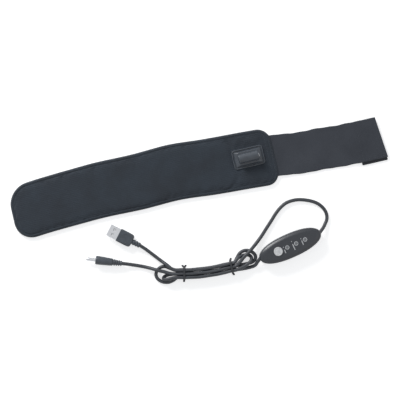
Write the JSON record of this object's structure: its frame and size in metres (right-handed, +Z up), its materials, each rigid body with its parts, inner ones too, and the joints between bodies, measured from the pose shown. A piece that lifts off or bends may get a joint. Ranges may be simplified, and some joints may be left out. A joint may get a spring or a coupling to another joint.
{
  "type": "telescope dew heater strip",
  "caption": "Soft heated band with a stitched elastic strap and hook end, a moulded power socket, and its folded USB lead with an in-line controller.",
  "frame": {"origin": "centre of the laid-out strip's box, on the surface it lies on; the power lead lies beside it at -Y", "axes": "+X along the strip towards the free end of its strap, +Y across it, away from the lead, +Z up out of its outer face"},
  "size_m": [0.378, 0.1437, 0.015],
  "materials": {
    "face_fabric": "brushed dark blue-grey loop fabric",
    "back_fabric": "smooth dark knit",
    "carrier_fabric": "non-woven carrier",
    "carbon_ribbon": "woven carbon ribbon",
    "foam": "thin closed-cell foam",
    "webbing": "woven elastic webbing",
    "hook_tape": "hook tape",
    "soft_plastic": "moulded soft plastic, satin",
    "dark_plastic": "moulded plastic, fine texture",
    "white_plastic": "white moulded plastic",
    "clear_plastic": "clear moulded plastic",
    "nickel": "bright nickel plate",
    "contact_metal": "plated contact strip",
    "board": "green circuit board",
    "red_insulation": "wire insulation",
    "black_insulation": "black moulded plastic",
    "tie": "plastic-covered wire tie",
    "cord_jacket": "round cord jacket, satin"
  },
  "bodies": {
    "strip_and_lead": {"back_cover": "back_fabric", "element_carrier": "carrier_fabric", "heating_ribbon": "carbon_ribbon", "insulation_foam": "foam", "face_cover": "face_fabric", "strap": "webbing", "hook_patch": "hook_tape", "socket_housing": "soft_plastic", "socket_sleeve": "nickel", "socket_insulator": "white_plastic", "socket_pin": "nickel", "socket_wire_positive": "red_insulation", "socket_wire_negative": "black_insulation", "temperature_limiter": "white_plastic", "usb_overmould": "soft_plastic", "usb_shell": "nickel", "usb_tongue": "white_plastic", "usb_contact_1": "contact_metal", "usb_contact_2": "contact_metal", "usb_contact_3": "contact_metal", "usb_contact_4": "contact_metal", "dc_overmould": "dark_plastic", "dc_barrel": "nickel", "dc_insulator": "black_insulation", "dc_contact": "contact_metal", "controller_case_top": "dark_plastic", "controller_case_bottom": "dark_plastic", "circuit_board": "board", "switch_body": "black_insulation", "control_chip": "black_insulation", "power_transistor": "black_insulation", "indicator_window_1": "clear_plastic", "indicator_led_1": "clear_plastic", "indicator_window_2": "clear_plastic", "indicator_led_2": "clear_plastic", "indicator_window_3": "clear_plastic", "indicator_led_3": "clear_plastic", "cord_hank": "cord_jacket", "twist_tie_left": "tie", "twist_tie_right": "tie", "cord_from_usb_plug": "cord_jacket", "cord_from_dc_plug": "cord_jacket", "cord_left_loop": "cord_jacket", "cord_left_fold": "cord_jacket", "cord_first_right_loop": "cord_jacket", "cord_second_right_loop": "cord_jacket", "cord_to_controller": "cord_jacket", "cord_from_controller": "cord_jacket"},
    "button": {"button_cap": "white_plastic", "switch_plunger": "black_insulation"}
  },
  "joints": [
    {"name": "button_press", "type": "slide", "parent": "strip_and_lead", "child": "button", "axis": [0, 0, -1], "range_m": [0, 0.0004], "stiffness_N_per_m": 400}
  ]
}
